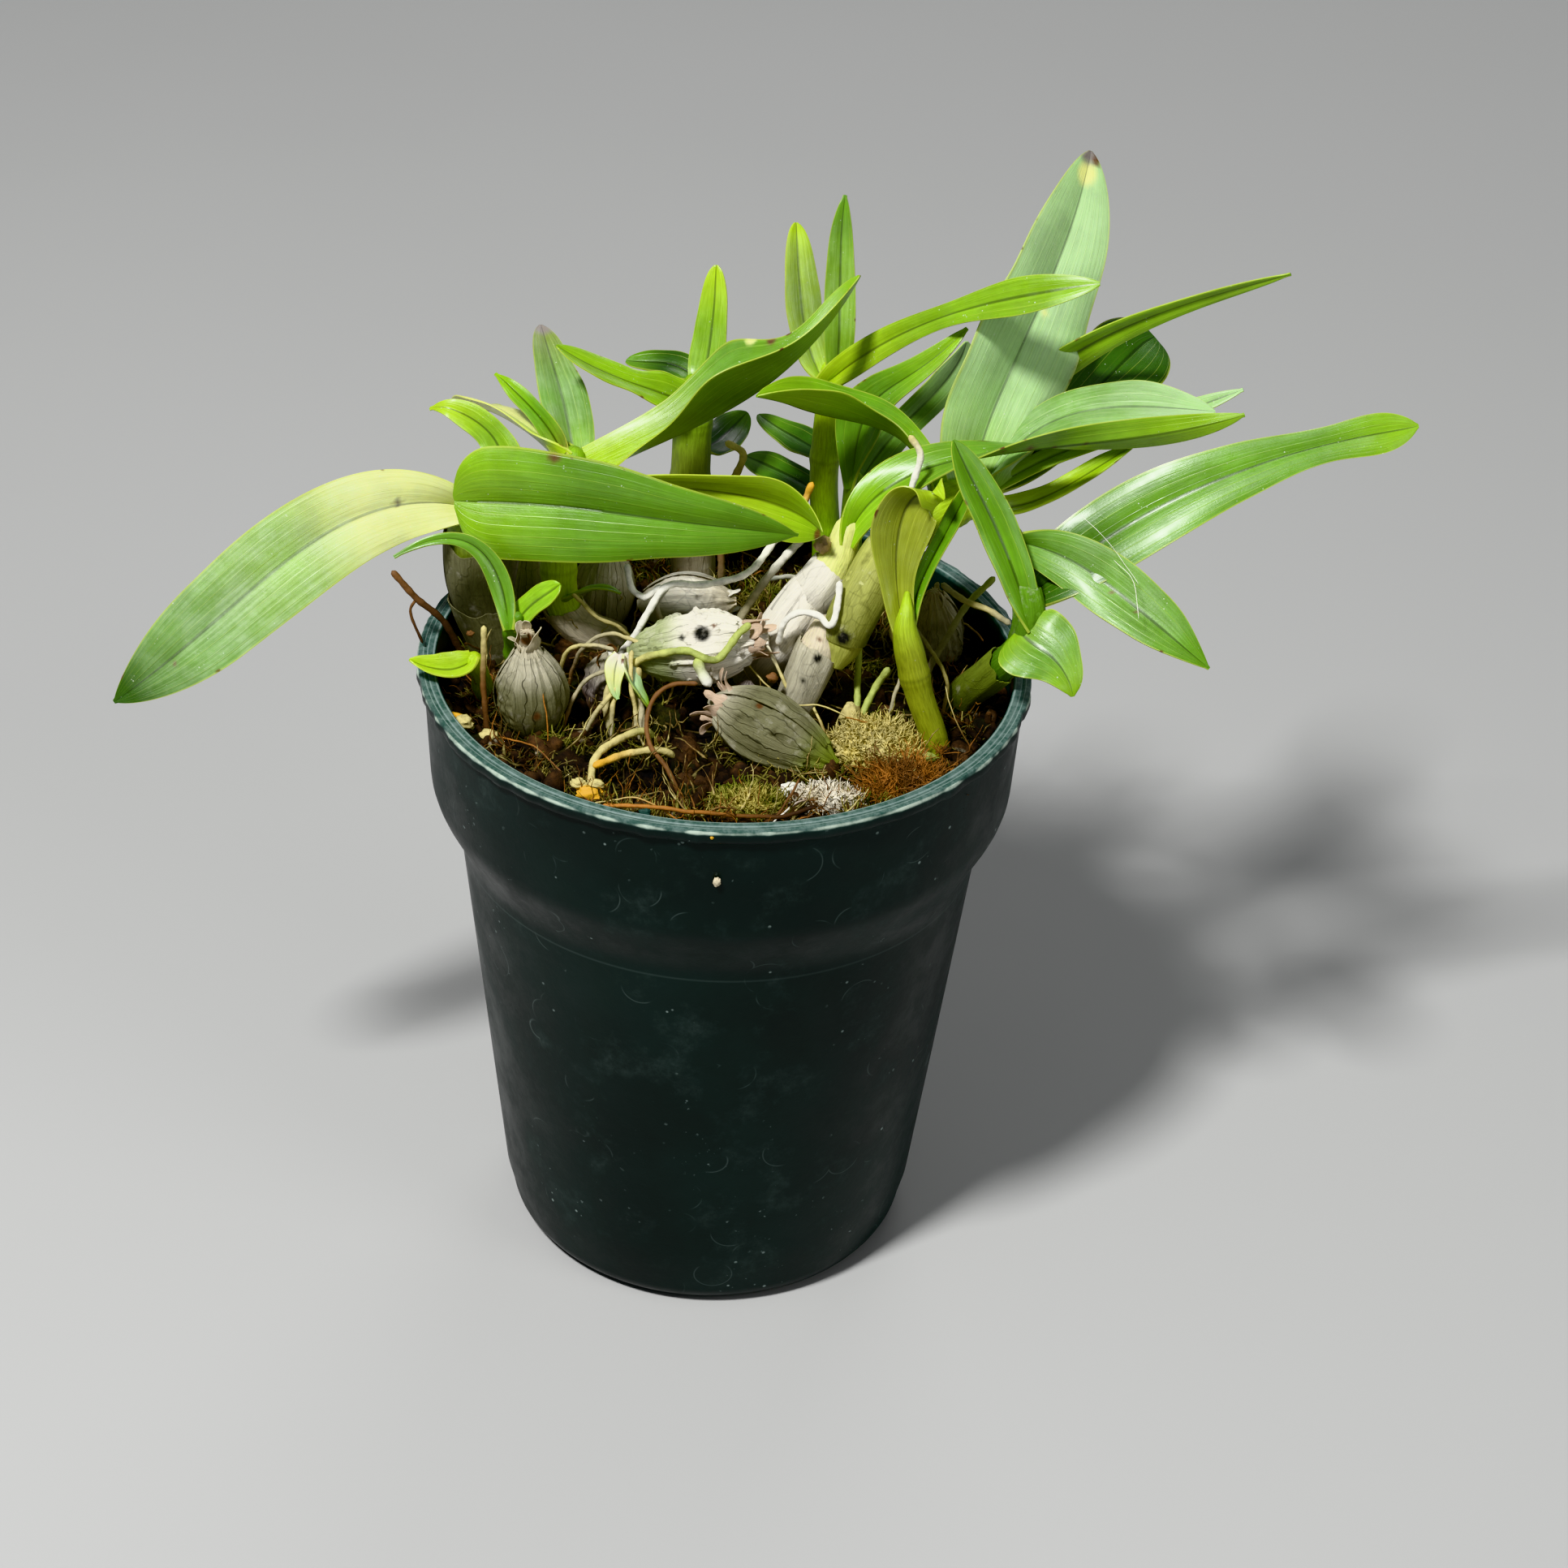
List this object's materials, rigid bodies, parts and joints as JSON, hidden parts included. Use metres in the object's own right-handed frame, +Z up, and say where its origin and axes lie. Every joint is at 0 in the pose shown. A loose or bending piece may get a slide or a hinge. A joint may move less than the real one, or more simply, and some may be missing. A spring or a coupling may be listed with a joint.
{
  "type": "potted dendrobium orchid",
  "caption": "Young leafy orchid with canes, papery bulbs and pale roots, growing in mossy bark in a round stepped-collar nursery pot.",
  "frame": {"origin": "centre of the pot's base, on the surface that the pot stands on", "axes": "+Z up along the pot's axis, -Y towards the front of the plant, +X to the right seen from the front"},
  "size_m": [0.2095, 0.1094, 0.1854],
  "materials": {
    "pot_plastic": "satin dark green moulded plastic with pale scuffs and a worn teal lip",
    "mix": "matt damp bark and moss",
    "leaf": "semi-gloss waxy leaf with fine parallel veins and a paler rim",
    "fresh_leaf": "semi-gloss yellow-green young leaf",
    "sheath": "matt dry papery sheath with fine veins",
    "bulb_skin": "matt grey-beige papery skin with dark seams",
    "root_white": "matt spongy white root",
    "root_green": "satin yellow-green root",
    "dry_brown": "matt dry fibre and twig",
    "moss": "matt fuzzy moss",
    "coir": "matt tangled rusty fibres"
  },
  "bodies": {
    "root": {"nursery_pot": "pot_plastic", "potting_mix": "mix", "leafy_stem_left": "leaf", "leafy_stem_young": "fresh_leaf", "leafy_stem_back_left": "leaf", "leafy_stem_back": "leaf", "leafy_stem_back_right": "leaf", "leafy_stem_right": "leaf", "leafy_stem_middle": "sheath", "leafy_stem_front": "fresh_leaf", "leafy_stem_far_right": "leaf", "small_shoot_left": "fresh_leaf", "small_shoot_rim": "fresh_leaf", "papery_bulb_front": "bulb_skin", "papery_bulb_lying": "bulb_skin", "papery_bulb_torn": "bulb_skin", "papery_bulb_behind": "bulb_skin", "papery_bulb_shaded": "bulb_skin", "papery_bulb_back_left": "bulb_skin", "papery_bulb_right": "bulb_skin", "dark_bulb_left": "bulb_skin", "dark_bulb_middle": "dry_brown", "white_root_long": "root_white", "white_root_upright": "root_white", "white_root_on_sheath": "root_white", "white_root_thick": "root_white", "root_cluster_front": "root_green", "root_fork_front": "root_green", "root_pair_right": "root_green", "root_crossing_back": "root_green", "root_curl_back": "dry_brown", "dark_twig": "dry_brown", "pale_stick": "dry_brown", "brown_fibre": "dry_brown", "moss_mound": "moss", "pale_moss": "moss", "green_moss": "moss", "coir_tuft": "coir"}
  },
  "joints": []
}
